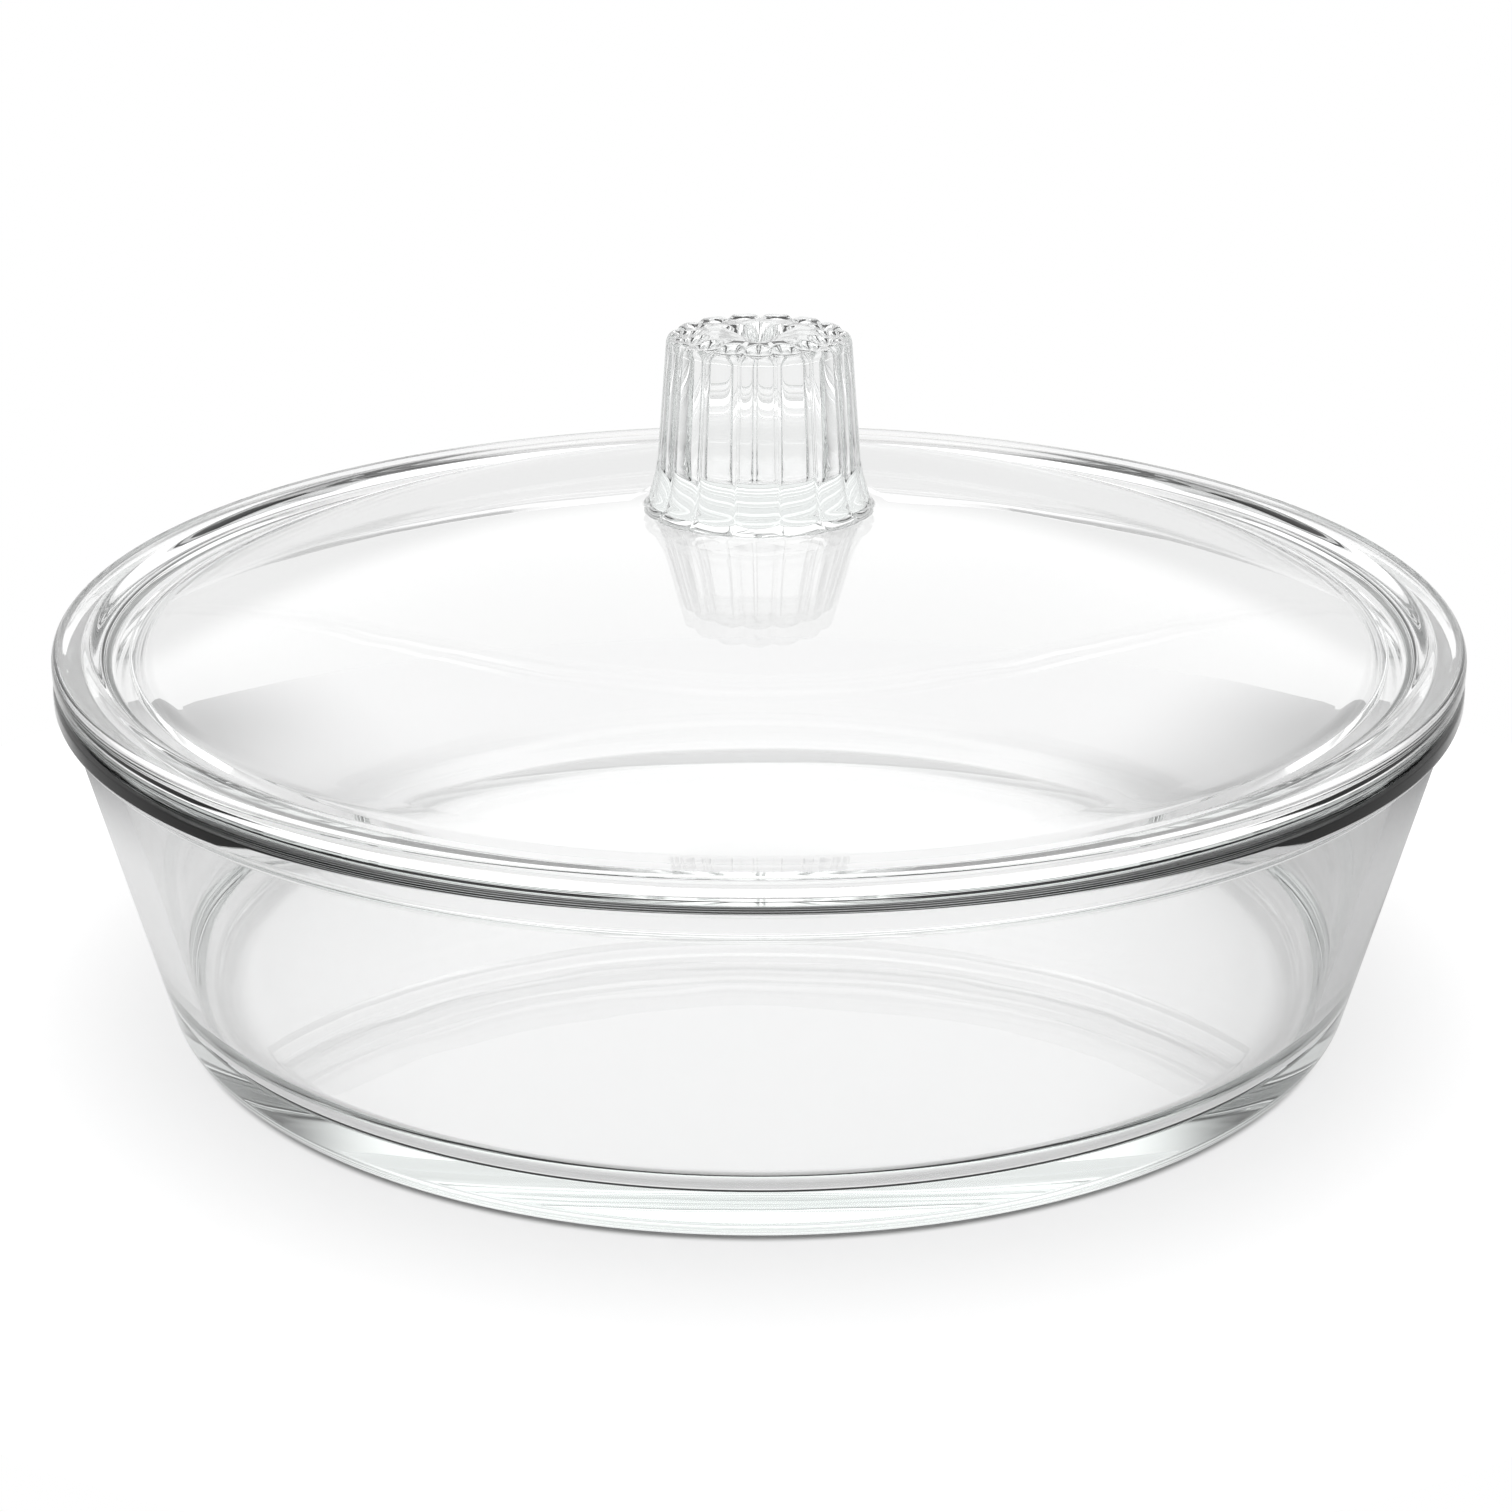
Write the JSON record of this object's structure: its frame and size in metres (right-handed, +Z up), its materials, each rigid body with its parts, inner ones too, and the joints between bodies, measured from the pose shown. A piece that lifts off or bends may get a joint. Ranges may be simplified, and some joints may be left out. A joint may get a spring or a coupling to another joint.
{
  "type": "covered glass dish",
  "caption": "Round clear glass dish with a flared wall, a rolled rim and a domed lift-off lid with a fluted knob.",
  "frame": {"origin": "middle of the flat face that the dish stands on", "axes": "+Z up along the axis of the dish, its lid and its knob; -Y is the front"},
  "size_m": [0.21, 0.21, 0.1026],
  "materials": {
    "clear_glass": "fire-polished, smooth and glossy"
  },
  "bodies": {
    "dish": {"dish": "clear_glass"},
    "lid": {"lid": "clear_glass", "knob": "clear_glass"}
  },
  "joints": [
    {"name": "lid_lift", "type": "slide", "parent": "dish", "child": "lid", "axis": [0, 0, 1], "range_m": [0, 0.1]}
  ]
}
